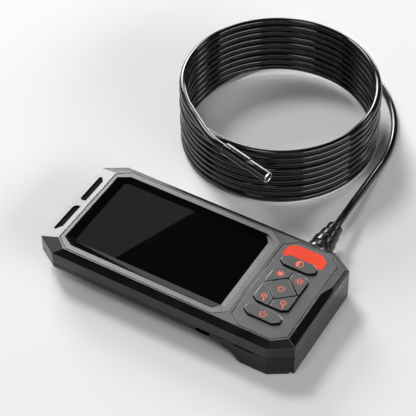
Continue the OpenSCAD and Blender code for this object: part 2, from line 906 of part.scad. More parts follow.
// The same screws hold the main board from above and the key board from below
module board_screws() {
    color([0.6, 0.6, 0.62]) {
        for (p = board_spots) {
            disc(p, board_screw_r, floor_z + 0.8, board_z + board_t);
            disc(p, board_head_r, board_z + board_t, board_z + board_t + board_head_h);
        }
        for (p = key_board_spots) {
            disc(p, board_screw_r, key_board_z, plate_z - 0.4);
            disc(p, board_head_r, key_board_z - board_head_h, key_board_z);
        }
    }
}

module shell_screws() {
    color([0.3, 0.3, 0.32])
    for (p = screw_spots) {
        head_z = under_z + screw_seat - screw_head_h;
        difference() {
            disc(p, screw_head_r, head_z, head_z + screw_head_h);
            translate([0, 0, head_z - cut])
                for (a = [0, 90])
                    translate([p.x, p.y, 0])
                        rotate([0, 0, a])
                            translate([-1.3, -0.3, 0])
                                cube([2.6, 0.6, cut + 0.8]);
        }
        disc(p, screw_r, under_z + screw_seat, ceiling_z - 0.8);
    }
}

// ---- battery ----

module along_cell(y0, y1) {
    translate([cell_x, y1, cell_z])
        rotate([90, 0, 0])
            linear_extrude(y1 - y0)
                children();
}

module battery_cell() {
    color([0.1, 0.3, 0.55])
    along_cell(cell_y - cell_l / 2, cell_y + cell_l / 2 - pole_l)
        circle(d = cell_d);
    color([0.1, 0.3, 0.55])
    along_cell(cell_y + cell_l / 2 - pole_l, cell_y + cell_l / 2)
        circle(r = pole_r);
}

module battery_contacts() {
    near = cell_y - cell_l / 2;
    far = cell_y + cell_l / 2;
    color([0.8, 0.8, 0.82]) {
        along_cell(near - spring_l, near)
            difference() {
                circle(r = spring_r);
                circle(r = spring_r - contact_t);
            }
        for (y = [near - spring_l - contact_t, far])
            along_cell(y, y + contact_t)
                square([contact_w, contact_w], center = true);
    }
}

// Plastic cradle: two saddles under the cell and an upright plate behind each contact
module battery_cradle() {
    near = cell_y - cell_l / 2 - spring_l - contact_t;
    far = cell_y + cell_l / 2 + contact_t;
    color([0.18, 0.18, 0.18]) {
        for (y = [cell_y - cell_l / 4, cell_y + cell_l / 4])
            difference() {
                block([cell_x - saddle_half, cell_x + saddle_half], [y - saddle_w / 2, y + saddle_w / 2],
                      [wall, cell_z - saddle_drop]);
                along_cell(y - saddle_w, y + saddle_w)
                    circle(d = cell_d + 2 * slide_fit);
            }
        for (y = [near - contact_back, far])
            block([cell_x - contact_w / 2, cell_x + contact_w / 2], [y, y + contact_back],
                  [wall, cell_z + contact_w / 2]);
    }
}

// ---- cable ----

// Moulded boot: a flange inside the wall, a flared collar outside and a taper with V grooves
module strain_relief() {
    taper_l = boot_l - flare_l;
    flare_r = boot_r - 1.1;
    function taper(s) = flare_r + (boot_tip_r - flare_r) * s / taper_l;
    outside = concat(
        [[boot_r, 0], [boot_r, 1.9], [boot_r - 0.3, collar_l], [boot_r - 0.75, 4],
         [taper(-groove_w), flare_l - groove_w]],
        [for (i = [0:boot_grooves - 1]) let (s = taper_l * i / boot_grooves)
            for (q = [[taper(s) - groove_dip, s], [taper(s + groove_w), s + groove_w],
                      [taper(s + taper_l / boot_grooves - groove_w), s + taper_l / boot_grooves - groove_w]])
                [q.x, q.y + flare_l]],
        [[boot_tip_r - 0.3, boot_l]]);
    color([0.03, 0.03, 0.03])
    translate([boot_x, boot_y, seam_z])
        rotate([-90, 0, 0])
            rotate_extrude()
                polygon(concat([[cable_bore, -wall - flange_t], [flange_r, -wall - flange_t],
                                [flange_r, -wall - slide_fit], [neck_r, -wall - slide_fit], [neck_r, 0]],
                               outside, [[cable_bore, boot_l]]));
}

module cable_lead() {
    color([0.03, 0.03, 0.03])
        tube(lead_route, cable_d / 2, 10);
}

module cable_coil() {
    r = cable_d / 2;
    color([0.03, 0.03, 0.03])
    translate([coil_at.x, coil_at.y, 0])
        rotate_extrude()
            polygon([[coil_r - r, r / 2], [coil_r - r / 2, 0], [coil_r + r / 2, 0], [coil_r + r, r / 2],
                     [coil_r + r, coil_h - r / 2], [coil_r + r / 2, coil_h], [coil_r - r / 2, coil_h],
                     [coil_r - r, coil_h - r / 2]]);
}

module cable_tail() {
    color([0.03, 0.03, 0.03])
        tube(tail_route, cable_d / 2, 10);
}

// ---- probe ----

module probe_sleeve() {
    color([0.06, 0.06, 0.06])
    on_probe()
        rotate_extrude()
            polygon([[cable_bore, 0], [sleeve_r - sleeve_lead_in, 0], [sleeve_r, sleeve_lead_in],
                     [sleeve_r, sleeve_l - 0.2], [sleeve_r - 0.2, sleeve_l], [spigot_r, sleeve_l],
                     [spigot_r, sleeve_shoulder], [cable_bore, sleeve_shoulder]]);
}

module camera_head() {
    end = sleeve_l + head_l;
    seat_r = window_r + 0.3;
    seat_z = end - 1.4;
    color([0.06, 0.06, 0.06])
    on_probe()
        rotate_extrude()
            polygon([[head_bore, sleeve_l - spigot_l], [spigot_r - slide_fit, sleeve_l - spigot_l],
                     [spigot_r - slide_fit, sleeve_l], [head_d / 2, sleeve_l], [head_d / 2, end - ring_t],
                     [seat_r, end - ring_t], [seat_r, seat_z], [window_r - 0.2, seat_z],
                     [window_r - 0.2, sleeve_l + 1], [head_bore, sleeve_l + 1]]);
}

// Bright ring that closes the front of the head
module face_ring() {
    end = sleeve_l + head_l;
    color([0.8, 0.8, 0.8])
    on_probe()
        rotate_extrude()
            polygon([[window_r, end - ring_t], [head_d / 2, end - ring_t], [head_d / 2, end - 0.2],
                     [head_d / 2 - 0.2, end], [window_r, end]]);
}

module front_window() {
    color([0.3, 0.3, 0.35])
    on_probe()
        translate([0, 0, sleeve_l + head_l - 1.35])
            cylinder(r = window_r, h = window_t);
}

module led_board() {
    color([0.1, 0.1, 0.1])
    on_probe()
        translate([0, 0, sleeve_l + head_l - 2.6])
            difference() {
                cylinder(r = window_r - 0.25, h = 0.6);
                translate([0, 0, -cut])
                    cylinder(r = lens_r + slide_fit, h = 0.6 + 2 * cut);
            }
}

module probe_leds() {
    color([0.95, 0.9, 0.6])
    on_probe()
        for (a = [0:45:315])
            rotate([0, 0, a])
                translate([led_r - led_side / 2, -led_side / 2, sleeve_l + head_l - 2])
                    cube([led_side, led_side, 0.5]);
}

module lens_barrel() {
    color([0.02, 0.02, 0.02])
    on_probe()
        translate([0, 0, sleeve_l + head_l - 6])
            difference() {
                cylinder(r = lens_r, h = lens_l);
                translate([0, 0, -cut])
                    cylinder(r = lens_r - 0.35, h = lens_l + 2 * cut);
            }
}

module front_lens() {
    color([0.25, 0.3, 0.4])
    on_probe()
        translate([0, 0, sleeve_l + head_l - 2.2])
            cylinder(r = lens_r - 0.37, h = 0.6);
}

module image_sensor() {
    color([0.08, 0.3, 0.15])
    on_probe()
        translate([-sensor_side / 2, -sensor_side / 2, sleeve_l + head_l - 7])
            cube([sensor_side, sensor_side, 1]);
}

bottom_shell();
top_shell();
face_plate();
screen_bezel();
screen_surround();
keypad_panel();
label_plate();
key_end_trim();
end_inlays();
cover_glass();
lcd_panel();
lcd_flex();
key_light();
key_brighter();
key_dimmer();
key_rotate();
key_zoom_in();
key_zoom_out();
key_power();
keypad_mat();
snap_domes();
key_board();
main_board();
shield_can();
usb_socket();
card_socket();
camera_plug();
core_lead();
board_screws();
shell_screws();
battery_cell();
battery_contacts();
battery_cradle();
strain_relief();
cable_lead();
cable_coil();
cable_tail();
probe_sleeve();
camera_head();
face_ring();
front_window();
led_board();
probe_leds();
lens_barrel();
front_lens();
image_sensor();
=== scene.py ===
"""Inspection camera: looks of the screen unit, its keys, and the probe on its coiled cable."""

import math

import bmesh
import bpy
from bpy.props import FloatProperty, FloatVectorProperty, PointerProperty
from mathutils import Matrix, Vector


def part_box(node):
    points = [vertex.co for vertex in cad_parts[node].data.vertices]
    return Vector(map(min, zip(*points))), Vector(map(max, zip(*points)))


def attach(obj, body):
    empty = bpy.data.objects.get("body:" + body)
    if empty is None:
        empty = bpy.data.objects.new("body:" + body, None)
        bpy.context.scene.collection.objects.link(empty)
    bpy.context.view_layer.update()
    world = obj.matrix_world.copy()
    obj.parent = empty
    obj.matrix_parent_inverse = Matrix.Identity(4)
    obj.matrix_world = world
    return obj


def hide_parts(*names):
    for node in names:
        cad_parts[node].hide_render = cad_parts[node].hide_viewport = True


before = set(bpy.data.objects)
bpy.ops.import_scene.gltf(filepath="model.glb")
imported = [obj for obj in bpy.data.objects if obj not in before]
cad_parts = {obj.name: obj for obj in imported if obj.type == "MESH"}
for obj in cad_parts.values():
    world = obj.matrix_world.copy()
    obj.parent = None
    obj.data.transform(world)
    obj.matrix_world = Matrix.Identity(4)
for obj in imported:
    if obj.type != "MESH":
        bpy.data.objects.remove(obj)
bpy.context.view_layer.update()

bl_info = {
    "name": "Inspection Camera",
    "version": (1, 0, 0),
    "blender": (4, 5, 0),
    "location": "View3D > Sidebar > Inspection Camera",
    "description": "Builds the handheld inspection camera piece by piece on its CAD frame",
    "category": "Object",
}

MM = 0.001

# Where the cable leaves the screen unit, and where the coil stands
EXIT = Vector((57.2, 40.0, 14.1)) * MM
COIL_FOOT = Vector((-15.8, 130.5, 0.0)) * MM

# Lead from the strain relief to the coil. X and Y are millimetres from the exit, and the third
# number is the height: 0 on the floor and 1 at the exit.
LEAD_POINTS = [
    (0, -3.4, 1), (0, 4, 1), (0, 12, 1), (0, 25, 1), (-0.2, 32, 0.98), (-0.5, 40, 0.92),
    (-1.1, 51, 0.8), (-1.9, 63, 0.6), (-2.9, 75, 0.39), (-3.8, 87, 0.18), (-4.5, 98, 0.05),
    (-5.7, 109, 0), (-7.9, 119, 0), (-11.3, 129, 0), (-15.6, 137.6, 0), (-20.4, 145, 0),
    (-25.7, 151.6, 0), (-31.1, 157.3, 0), (-36.7, 162.2, 0), (-43.7, 167, 0), (-52.7, 171, 0),
    (-63.7, 173, 0), (-75.2, 172, 0), (-86.2, 168.4, 0), (-96.7, 162.4, 0), (-106.2, 154.3, 0),
    (-114.7, 144.4, 0), (-122, 133, 0), (-127.4, 120.3, 0), (-131, 107, 0),
    (-132.7, 92, 0),
]

# Tail from the top turn to the probe, in millimetres from the coil's foot
TAIL_POINTS = [
    (-38.2, -45.9, 45.2), (-34.2, -48.9, 45.2), (-29.7, -52.2, 45.2), (-25.2, -55.4, 45.3),
    (-20.8, -58.6, 45.3),
    (-16.6, -61.4, 45.2), (-12.5, -63.8, 45.1), (-8.4, -65.6, 45.0), (-4.2, -66.9, 44.8),
    (0.05, -67.8, 44.6), (3.95, -68.7, 44.4),
]

# The probe: where it starts, its turn and its droop in degrees, and the lengths of its two
# parts in millimetres
PROBE_AT = COIL_FOOT + Vector(TAIL_POINTS[-2]) * MM
PROBE_YAW = -12.7
PROBE_DROOP = 2.5
SLEEVE_LONG = 18.8
HEAD_LONG = 15.2

# How the coil is drawn: points wound per turn, points over which its sway starts and stops,
# the gap under the cable and the length of one straight piece of it
POINTS_PER_TURN = 48
EASE_POINTS = 40
FLOOR_GAP = 0.05 * MM
ROUTE_STEP = 2.2 * MM

# Outlines seen from above: both ends along X, half the width, and the corner cuts
BODY = (-82.5, 82.5, 40.0, 13.0, 8.0)
DECK = (-71.8, 77.2, 35.9, 7.8, 5.8)

# How far the body's upper edge lies below the deck, and how closely a point has to lie on an
# outline or at a height to count as being there, all in millimetres
RIM_DROP = 2.9
ON_OUTLINE = 0.03
AT_HEIGHT = 0.02

# How far the lamps stand from the point they face, and the height of the glowing card
LAMP_DISTANCE = 2.4
LAMPS_FACE = Vector((0, 0.06, 0.02))
CARD_HEIGHT = 0.75

# Degrees of turn from which an edge stays crisp, on rounded shapes and between flat faces
CRISP = 34.0
CRISP_FLAT = 10.0

# The camera's place in metres, and its azimuth, elevation and roll in degrees
CAMERA_AT = (0.3077, -0.4897, 0.65446)
CAMERA_TURN = (31.285, 45.862, -0.943)


# ---- settings ----


class ShellSizes(bpy.types.PropertyGroup):
    """Roundings of the moulded parts."""

    corner_round: FloatProperty(
        name="Corner rounding", description="Radius along the body's long edges and corners",
        default=0.3 * MM, min=0.1 * MM, max=0.6 * MM, unit="LENGTH", subtype="DISTANCE",
        precision=5)
    slant_round: FloatProperty(
        name="Slant rounding", description="Radius along the short edges that climb to the deck",
        default=0.1 * MM, min=0.02 * MM, max=0.2 * MM, unit="LENGTH", subtype="DISTANCE",
        precision=5)
    rim_round: FloatProperty(
        name="Rim rounding", description="Radius of the thin rim round the deck",
        default=0.11 * MM, min=0.02 * MM, max=0.12 * MM, unit="LENGTH", subtype="DISTANCE",
        precision=5)
    rib_round: FloatProperty(
        name="Rib rounding", description="Radius along the face plate's thin ribs",
        default=0.08 * MM, min=0.02 * MM, max=0.1 * MM, unit="LENGTH", subtype="DISTANCE",
        precision=5)
    plate_round: FloatProperty(
        name="Plate rounding", description="Radius along the bezel and the keypad panel",
        default=0.18 * MM, min=0.05 * MM, max=0.4 * MM, unit="LENGTH", subtype="DISTANCE",
        precision=5)
    key_round: FloatProperty(
        name="Key rounding", description="Radius round the top of each key",
        default=0.3 * MM, min=0.1 * MM, max=0.6 * MM, unit="LENGTH", subtype="DISTANCE",
        precision=5)
    print_thick: FloatProperty(
        name="Print thickness", description="Thickness of the printed marks on the keys",
        default=0.04 * MM, min=0.01 * MM, max=0.1 * MM, unit="LENGTH", subtype="DISTANCE",
        precision=5)


class CableSizes(bpy.types.PropertyGroup):
    """The probe cable and its coil."""

    diameter: FloatProperty(
        name="Cable diameter", description="Diameter of the probe cable",
        default=4.5 * MM, min=3 * MM, max=6 * MM, unit="LENGTH", subtype="DISTANCE", precision=5)
    coil_radius: FloatProperty(
        name="Coil radius", description="Radius of the coil to the cable's centre",
        default=59.7 * MM, min=50 * MM, max=70 * MM, unit="LENGTH", subtype="DISTANCE",
        precision=5)
    pitch: FloatProperty(
        name="Rise per turn", description="How much higher each turn lies than the one below",
        default=4.7 * MM, min=4.5 * MM, max=5 * MM, unit="LENGTH", subtype="DISTANCE",
        precision=5)
    turns: FloatProperty(
        name="Turns", description="Turns wound in the coil", default=9.15, min=8.15, max=10.15)
    sway: FloatProperty(
        name="Sway", description="How far the turns wander in and out",
        default=0.35 * MM, min=0.0, max=1 * MM, unit="LENGTH", subtype="DISTANCE", precision=5)


class FinishColours(bpy.types.PropertyGroup):
    """Colours of the mouldings, prints and rubber."""

    shell: FloatVectorProperty(
        name="Shells", description="Colour of both shells", subtype="COLOR", size=3,
        default=(0.0036, 0.0036, 0.0038), min=0, max=1)
    panel: FloatVectorProperty(
        name="Panel", description="Colour of the face plate and the keypad panel",
        subtype="COLOR", size=3, default=(0.072, 0.072, 0.073), min=0, max=1)
    bezel: FloatVectorProperty(
        name="Bezel", description="Colour of the frame round the screen", subtype="COLOR", size=3,
        default=(0.155, 0.155, 0.157), min=0, max=1)
    keys: FloatVectorProperty(
        name="Keys", description="Colour of the seven keys", subtype="COLOR", size=3,
        default=(0.034, 0.034, 0.035), min=0, max=1)
    label: FloatVectorProperty(
        name="Label", description="Colour of the label plate", subtype="COLOR", size=3,
        default=(0.95, 0.045, 0.005), min=0, max=1)
    marks: FloatVectorProperty(
        name="Marks", description="Colour of the marks printed on the keys", subtype="COLOR",
        size=3, default=(0.95, 0.12, 0.035), min=0, max=1)
    rubber: FloatVectorProperty(
        name="Cable", description="Colour of the cable and the strain relief", subtype="COLOR",
        size=3, default=(0.006, 0.006, 0.006), min=0, max=1)


class StudioLights(bpy.types.PropertyGroup):
    """Lamps of the studio."""

    key: FloatProperty(
        name="Window light", description="Brightness of the low light beyond the screen end",
        default=12.2, min=0.0, max=80.0)
    side: FloatProperty(
        name="Side light", description="Brightness of the soft light over the screen end",
        default=22.5, min=0.0, max=60.0)
    front: FloatProperty(
        name="Front light", description="Brightness of the soft light over the near side",
        default=6.3, min=0.0, max=40.0)
    low: FloatProperty(
        name="Low light", description="Brightness of the soft light beyond the key end",
        default=8.0, min=0.0, max=40.0)
    strip: FloatProperty(
        name="Strips", description="Brightness of the strips that line the coil's near side",
        default=4.2, min=0.0, max=40.0)
    edge: FloatProperty(
        name="Edge light", description="Brightness of the small light that edges the key end",
        default=7.0, min=0.0, max=40.0)
    rib: FloatProperty(
        name="Rib light", description="Brightness of the small light that draws the ribs",
        default=15.0, min=0.0, max=40.0)
    probe: FloatProperty(
        name="Probe light", description="Brightness of the small light that edges the probe",
        default=9.0, min=0.0, max=80.0)
    recess: FloatProperty(
        name="Recess light",
        description="Brightness of the small light in the recess's near slope",
        default=3.0, min=0.0, max=80.0)
    facet: FloatProperty(
        name="Facet light", description="Brightness of the dim light in the near corner's facet",
        default=0.5, min=0.0, max=40.0)
    back: FloatProperty(
        name="Back light", description="Brightness of the soft light beyond the coil",
        default=10.0, min=0.0, max=40.0)
    corner: FloatProperty(
        name="Corner light", description="Brightness of the small light beyond the near corner",
        default=1.8, min=0.0, max=40.0)
    horizon: FloatProperty(
        name="Room", description="Brightness of the room near the horizon",
        default=0.18, min=0.0, max=2.0)
    ceiling: FloatProperty(
        name="Ceiling", description="Brightness of the room overhead", default=0.02, min=0.0,
        max=1.0)
    reflector: FloatProperty(
        name="Reflector", description="Brightness of the card that the screen glass reflects",
        default=0.35, min=0.0, max=2.0)


class CameraKit(bpy.types.PropertyGroup):
    """Everything that can be set on the inspection camera."""

    shell: PointerProperty(type=ShellSizes)
    cable: PointerProperty(type=CableSizes)
    colours: PointerProperty(type=FinishColours)
    studio: PointerProperty(type=StudioLights)


def kit():
    return bpy.context.scene.inspection_camera


# ---- finishes ----


def add(tree, kind, **inputs):
    """One shader node, with its sockets and settings given by name."""
    node = tree.nodes.new(kind)
    for name, value in inputs.items():
        if name in node.inputs:
            node.inputs[name].default_value = value
        else:
            setattr(node, name, value)
    return node


def start_finish(name, colour, roughness, **uniform):
    """A new material with its shader. Returns the material, its tree and the shader node."""
    material = bpy.data.materials.new(name)
    material.use_nodes = True
    material.diffuse_color = (*colour, 1)
    tree = material.node_tree
    shader = tree.nodes["Principled BSDF"]
    shader.inputs["Base Color"].default_value = (*colour, 1)
    shader.inputs["Roughness"].default_value = roughness
    for socket, value in uniform.items():
        shader.inputs[socket.replace("_", " ")].default_value = value
    return material, tree, shader


def place_in_metres(tree):
    return add(tree, "ShaderNodeTexCoord").outputs["Object"]


def noise(tree, at, size, detail=3.0):
    """Grey noise whose features are about size metres across."""
    node = add(tree, "ShaderNodeTexNoise", Scale=1.0 / size, Detail=detail, Roughness=0.55)
    tree.links.new(at, node.inputs["Vector"])
    return node.outputs["Fac"]


def spread(tree, value, low, high, start=0.3, end=0.7):
    """The value carried from start..end to low..high."""
    node = add(tree, "ShaderNodeMapRange")
    node.inputs["From Min"].default_value = start
    node.inputs["From Max"].default_value = end
    node.inputs["To Min"].default_value = low
    node.inputs["To Max"].default_value = high
    tree.links.new(value, node.inputs["Value"])
    return node.outputs["Result"]


def tinted(tree, shader, colour, share, amount):
    """Base colour that wanders between a darker and a lighter shade of itself."""
    mix = add(tree, "ShaderNodeMix", data_type="RGBA")
    mix.inputs[6].default_value = (*[c * (1 - amount) for c in colour], 1)
    mix.inputs[7].default_value = (*[min(1, c * (1 + amount)) for c in colour], 1)
    tree.links.new(share, mix.inputs[0])
    tree.links.new(mix.outputs[2], shader.inputs["Base Color"])


def bumped(tree, shader, heights):
    """Stacks bumps of (height value, depth in metres) into the shader's normal."""
    last = None
    for value, depth in heights:
        bump = add(tree, "ShaderNodeBump", Strength=1.0, Distance=depth)
        tree.links.new(value, bump.inputs["Height"])
        if last is not None:
            tree.links.new(last, bump.inputs["Normal"])
        last = bump.outputs["Normal"]
    tree.links.new(last, shader.inputs["Normal"])


def moulded(name, colour, roughness, grain=0.28 * MM, depth=0.006 * MM, tint=0.1, haze=0.05,
            **uniform):
    """Moulded plastic: a fine spark-eroded grain, faint flow marks and uneven gloss."""
    material, tree, shader = start_finish(name, colour, roughness, **uniform)
    at = place_in_metres(tree)
    tinted(tree, shader, colour, spread(tree, noise(tree, at, 9 * MM, 4), 0, 1), tint)
    rough = spread(tree, noise(tree, at, 14 * MM, 5), roughness - haze, roughness + haze)
    tree.links.new(rough, shader.inputs["Roughness"])
    bumped(tree, shader, [(noise(tree, at, 6 * grain, 2), depth * 1.5),
                          (noise(tree, at, grain, 3), depth)])
    return material


def smooth_rubber(name, colour, roughness, waves=0.008 * MM):
    """Extruded or moulded soft plastic: glossy, with slight waves and an uneven tone."""
    material, tree, shader = start_finish(name, colour, roughness)
    at = place_in_metres(tree)
    tinted(tree, shader, colour, spread(tree, noise(tree, at, 4 * MM, 3), 0, 1), 0.25)
    rough = spread(tree, noise(tree, at, 7 * MM, 5), roughness - 0.03, roughness + 0.05)
    tree.links.new(rough, shader.inputs["Roughness"])
    bumped(tree, shader, [(noise(tree, at, 2.4 * MM, 2), waves),
                          (noise(tree, at, 0.3 * MM, 2), 0.0006 * MM)])
    return material


def metal(name, colour, roughness, brushed=None):
    """Bare or plated metal. brushed stretches the fine scratches along one axis."""
    material, tree, shader = start_finish(name, colour, roughness, Metallic=1.0)
    at = place_in_metres(tree)
    tinted(tree, shader, colour, spread(tree, noise(tree, at, 3 * MM, 4), 0, 1), 0.08)
    rough = spread(tree, noise(tree, at, 1.5 * MM, 5), max(0.03, roughness - 0.06),
                   roughness + 0.08)
    tree.links.new(rough, shader.inputs["Roughness"])
    lines = at
    if brushed:
        stretch = add(tree, "ShaderNodeMapping")
        stretch.inputs["Scale"].default_value = brushed
        tree.links.new(at, stretch.inputs["Vector"])
        lines = stretch.outputs["Vector"]
    bumped(tree, shader, [(noise(tree, lines, 0.15 * MM, 2), 0.002 * MM)])
    return material


def circuit_board(name, colour):
    """Solder mask with fine copper tracks under it and rows of tinned pads."""
    material, tree, shader = start_finish(name, colour, 0.32)
    at = place_in_metres(tree)
    tracks = add(tree, "ShaderNodeTexBrick", Scale=180.0)
    tracks.inputs["Mortar Size"].default_value = 0.035
    tracks.inputs["Color1"].default_value = (*colour, 1)
    tracks.inputs["Color2"].default_value = (*[c * 1.15 for c in colour], 1)
    tracks.inputs["Mortar"].default_value = (*[min(1, c * 2.4) for c in colour], 1)
    tree.links.new(at, tracks.inputs["Vector"])
    pads = add(tree, "ShaderNodeTexVoronoi", Scale=420.0, Randomness=0.35)
    tree.links.new(at, pads.inputs["Vector"])
    inside = spread(tree, pads.outputs["Distance"], 1, 0, 0.16, 0.2)
    mix = add(tree, "ShaderNodeMix", data_type="RGBA")
    tree.links.new(inside, mix.inputs[0])
    tree.links.new(tracks.outputs["Color"], mix.inputs[6])
    mix.inputs[7].default_value = (0.55, 0.54, 0.5, 1)
    tree.links.new(mix.outputs[2], shader.inputs["Base Color"])
    bumped(tree, shader, [(tracks.outputs["Fac"], 0.02 * MM)])
    return material


def dark_glass(name):
    """Polished black cover glass with the faintest haze of handling."""
    ink = (0.0022, 0.0022, 0.0025)
    material, tree, shader = start_finish(name, ink, 0.01)
    at = place_in_metres(tree)
    rough = spread(tree, noise(tree, at, 18 * MM, 6), 0.005, 0.02)
    tree.links.new(rough, shader.inputs["Roughness"])
    tinted(tree, shader, ink, spread(tree, noise(tree, at, 12 * MM, 3), 0, 1), 0.15)
    bumped(tree, shader, [(noise(tree, at, 30 * MM, 1), 0.004 * MM)])
    return material


def clear_window(name):
    """Clear flat window of the probe."""
    smoke = (0.02, 0.022, 0.025)
    material, tree, shader = start_finish(name, smoke, 0.04, Alpha=0.12)
    at = place_in_metres(tree)
    rough = spread(tree, noise(tree, at, 1.2 * MM, 4), 0.02, 0.08)
    tree.links.new(rough, shader.inputs["Roughness"])
    tinted(tree, shader, smoke, spread(tree, noise(tree, at, 1 * MM, 2), 0, 1), 0.05)
    bumped(tree, shader, [(noise(tree, at, 0.8 * MM, 2), 0.001 * MM)])
    return material


MADE_FINISHES = {}


def finish(name):
    """Each finish is made once and shared by the pieces that wear it."""
    if name in MADE_FINISHES:
        return MADE_FINISHES[name]
    colours = kit().colours
    makers = {
        "textured_black": lambda: moulded(
            name, colours.shell, 0.22, depth=0.002 * MM, Specular_IOR_Level=0.42),
        "textured_black_base": lambda: moulded(
            name, colours.shell, 0.22, depth=0.002 * MM, Specular_IOR_Level=0.34),
        # The edge finishes here are lighter, glossier copies of their parts' colours, worn by the
        # rounded edges: painted highlight that draws light lines along the edges
        "black_edge_highlight": lambda: moulded(
            name, [c * 1.3 for c in colours.shell], 0.2, depth=0.002 * MM),
        "satin_grey": lambda: moulded(name, colours.panel, 0.42, depth=0.004 * MM),
        "satin_grey_edge_highlight": lambda: moulded(
            name, [c * 1.5 for c in colours.panel], 0.3, depth=0.001 * MM, Coat_Weight=1.0,
            Coat_Roughness=0.15, Specular_IOR_Level=1.0),
        "bezel_grey": lambda: moulded(name, colours.bezel, 0.4, depth=0.003 * MM),
        "bezel_grey_edge_highlight": lambda: moulded(
            name, [c * 1.5 for c in colours.bezel], 0.3, depth=0.001 * MM, Coat_Weight=1.0,
            Coat_Roughness=0.15),
        # Painted shade: a darker copy of the bezel colour, worn by the bezel's flat faces turned
        # towards -X
        "bezel_slope_painted_shade": lambda: moulded(
            name, [c * 0.4 for c in colours.bezel], 0.36, depth=0.002 * MM,
            Specular_IOR_Level=0.2),
        "surround_black": lambda: moulded(
            name, (0.0015, 0.0015, 0.0015), 0.08, depth=0.0003 * MM, haze=0.02,
            Specular_IOR_Level=0.2),
        # Painted shade: a near-black worn by the walls of the bezel, keypad panel and keys, and
        # by their rounded edges that face the near and right sides, standing in for the shadow in
        # the gaps
        "painted_gap_shade": lambda: moulded(
            name, (0.003, 0.003, 0.003), 0.6, depth=0.002 * MM, Specular_IOR_Level=0.1),
        "trim_black": lambda: moulded(
            name, (0.004, 0.004, 0.004), 0.7, grain=0.5 * MM, depth=0.03 * MM,
            Specular_IOR_Level=0.03),
        "key_charcoal": lambda: moulded(name, colours.keys, 0.44, depth=0.004 * MM),
        "key_charcoal_edge_highlight": lambda: moulded(
            name, [c * 1.4 for c in colours.keys], 0.32, depth=0.001 * MM, Coat_Weight=1.0,
            Coat_Roughness=0.15, Specular_IOR_Level=1.0),
        "label_orange": lambda: moulded(
            name, colours.label, 0.45, grain=0.15 * MM, depth=0.001 * MM, tint=0.04,
            Specular_IOR_Level=0.2),
        "mark_orange": lambda: moulded(
            name, colours.marks, 0.5, grain=0.12 * MM, depth=0.001 * MM, tint=0.05),
        "cover_glass": lambda: dark_glass(name),
        "display": lambda: moulded(name, (0.012, 0.012, 0.013), 0.25, depth=0.001 * MM),
        "amber_film": lambda: moulded(name, (0.45, 0.18, 0.03), 0.3, depth=0.001 * MM),
        "grey_silicone": lambda: moulded(
            name, (0.25, 0.25, 0.26), 0.55, depth=0.003 * MM, Subsurface_Weight=0.1),
        "sprung_steel": lambda: metal(name, (0.62, 0.61, 0.58), 0.28, (6, 60, 6)),
        "tinned_steel": lambda: metal(name, (0.6, 0.6, 0.58), 0.3, (60, 6, 6)),
        "green_board": lambda: circuit_board(name, (0.012, 0.085, 0.035)),
        "black_board": lambda: circuit_board(name, (0.006, 0.006, 0.007)),
        "natural_nylon": lambda: moulded(name, (0.78, 0.75, 0.66), 0.5),
        "black_zinc": lambda: metal(name, (0.16, 0.16, 0.165), 0.35),
        "blue_wrap": lambda: moulded(name, (0.02, 0.1, 0.34), 0.22, depth=0.002 * MM),
        "glossy_cable": lambda: smooth_rubber(name, colours.rubber, 0.07),
        "satin_rubber": lambda: smooth_rubber(name, colours.rubber, 0.22, 0.0005 * MM),
        "anodised_black": lambda: metal(name, (0.07, 0.07, 0.072), 0.17),
        "polished_ring": lambda: metal(name, (0.82, 0.82, 0.83), 0.12),
        "clear_window": lambda: clear_window(name),
        "led_lens": lambda: moulded(name, (0.95, 0.93, 0.82), 0.25, depth=0.001 * MM),
        "lens_glass": lambda: dark_glass(name),
    }
    MADE_FINISHES[name] = makers[name]()
    return MADE_FINISHES[name]


# ---- making pieces ----


def crease(bm, sharp, folds=False):
    """Smooth shading in which edges that turn by more than sharp degrees stay crisp.

    With folds, so does every fold between flat faces and the border of each rounded edge,
    which keeps the flat faces flat.
    """
    bmesh.ops.recalc_face_normals(bm, faces=bm.faces)
    for edge in bm.edges:
        turn = math.degrees(edge.calc_face_angle(0.0))
        rounded = {face.material_index == 1 for face in edge.link_faces} if folds else {True}
        edge.smooth = len(rounded) == 1 and turn < (sharp if True in rounded else CRISP_FLAT)
    for face in bm.faces:
        face.smooth = True


def piece_from(bm, name, finishes, sharp=CRISP, place=None):
    """One piece from a finished mesh, creased unless sharp is None."""
    if sharp is not None:
        crease(bm, sharp)
    mesh = bpy.data.meshes.new(name)
    bm.to_mesh(mesh)
    bm.free()
    for each in finishes:
        mesh.materials.append(finish(each))
    piece = bpy.data.objects.new(name, mesh)
    if place is not None:
        piece.matrix_world = place
    bpy.context.scene.collection.objects.link(piece)
    return piece


def from_cad(node):
    """A copy of a CAD node's mesh with whole flat faces again."""
    bm = bmesh.new()
    bm.from_mesh(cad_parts[node].data)
    bmesh.ops.remove_doubles(bm, verts=bm.verts, dist=1e-6)
    bmesh.ops.dissolve_limit(bm, angle_limit=math.radians(0.2), verts=bm.verts, edges=bm.edges)
    for face in bm.faces:
        face.material_index = 0
    return bm


def round_edges(bm, radius, wanted, steps=3, least=12.0):
    """Rounds the edges that turn by more than least degrees and whose two ends are wanted."""
    edges = [edge for edge in bm.edges
             if edge.is_manifold and edge.calc_face_angle(0.0) > math.radians(least)
             and wanted(edge.verts[0].co / MM, edge.verts[1].co / MM)]
    bmesh.ops.bevel(bm, geom=edges, offset=radius, offset_type="OFFSET", segments=steps,
                    profile=0.5, affect="EDGES", clamp_overlap=True, material=1)


def in_painted_shade(face):
    """Walls, and the rounded edges turned to the near and right sides: these faces get painted
    shade, black as if the gaps beside them lay in shadow.
    """
    towards = face.normal.x - face.normal.y
    return abs(face.normal.z) < 0.5 or (face.material_index == 1 and towards > 0.45)


